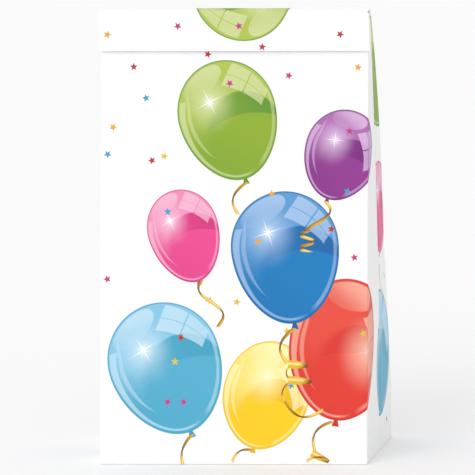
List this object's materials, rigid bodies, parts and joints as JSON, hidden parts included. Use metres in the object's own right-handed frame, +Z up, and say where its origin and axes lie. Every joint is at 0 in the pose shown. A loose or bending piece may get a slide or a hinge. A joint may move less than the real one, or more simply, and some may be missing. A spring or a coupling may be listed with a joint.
{
  "type": "gift bag",
  "caption": "Block-bottom paper party bag with tucked side gussets, mouth pinched flat and folded over to the front, printed with balloons and stars.",
  "frame": {"origin": "on the ground under the middle of the block bottom", "axes": "+X to the right along the front panel's width, +Y to the back, +Z up"},
  "size_m": [0.1314, 0.08, 0.2157],
  "materials": {
    "printed_paper": "white coated paper, printed outside with balloons and stars in many colours",
    "plain_paper": "unprinted, uncoated inner side of the same paper",
    "paste": "dried film of starch paste"
  },
  "bodies": {
    "bag": {"front_panel": "printed_paper", "back_panel": "printed_paper", "right_gusset_front": "printed_paper", "right_gusset_back": "printed_paper", "left_gusset_front": "printed_paper", "left_gusset_back": "printed_paper", "right_tuck_front": "printed_paper", "right_tuck_back": "printed_paper", "left_tuck_front": "printed_paper", "left_tuck_back": "printed_paper", "seam_lap": "plain_paper", "seam_paste": "paste", "base_back_flap": "printed_paper", "base_front_flap": "printed_paper", "base_paste": "paste", "base_side_flap_right": "plain_paper", "base_side_flap_left": "plain_paper", "base_web_front_right": "plain_paper", "base_web_front_left": "plain_paper", "base_web_back_right": "plain_paper", "base_web_back_left": "plain_paper", "inner_crease": "printed_paper", "gusset_creases": "plain_paper", "outer_crease": "printed_paper"},
    "flap": {"front_lip": "printed_paper"},
    "outer_lip": {"back_lip": "printed_paper"},
    "gusset_lips_front": {"gusset_lip_front_right": "plain_paper", "gusset_lip_front_left": "plain_paper"},
    "gusset_lips_back": {"gusset_lip_back_right": "plain_paper", "gusset_lip_back_left": "plain_paper"}
  },
  "joints": [
    {"name": "closure_fold", "type": "hinge", "parent": "bag", "child": "flap", "pos_m": [0, -0.0017, 0.21254], "axis": [-1, 0, 0], "range_deg": [0, 165], "deforming": ["inner_crease", "gusset_creases", "outer_crease"]},
    {"name": "lip_open", "type": "hinge", "parent": "flap", "child": "outer_lip", "pos_m": [0, -0.00481, 0.2129], "axis": [-1, 0, 0], "range_deg": [0, 35]},
    {"name": "gusset_front_open", "type": "hinge", "parent": "flap", "child": "gusset_lips_front", "pos_m": [0, -0.00292, 0.21195], "axis": [-1, 0, 0], "range_deg": [0, 9]},
    {"name": "gusset_back_open", "type": "hinge", "parent": "flap", "child": "gusset_lips_back", "pos_m": [0, -0.0041, 0.21216], "axis": [-1, 0, 0], "range_deg": [0, 27]}
  ],
  "couplings": [
    {"joint": "gusset_front_open", "follows": "lip_open", "ratio": 0.25},
    {"joint": "gusset_back_open", "follows": "lip_open", "ratio": 0.75}
  ]
}
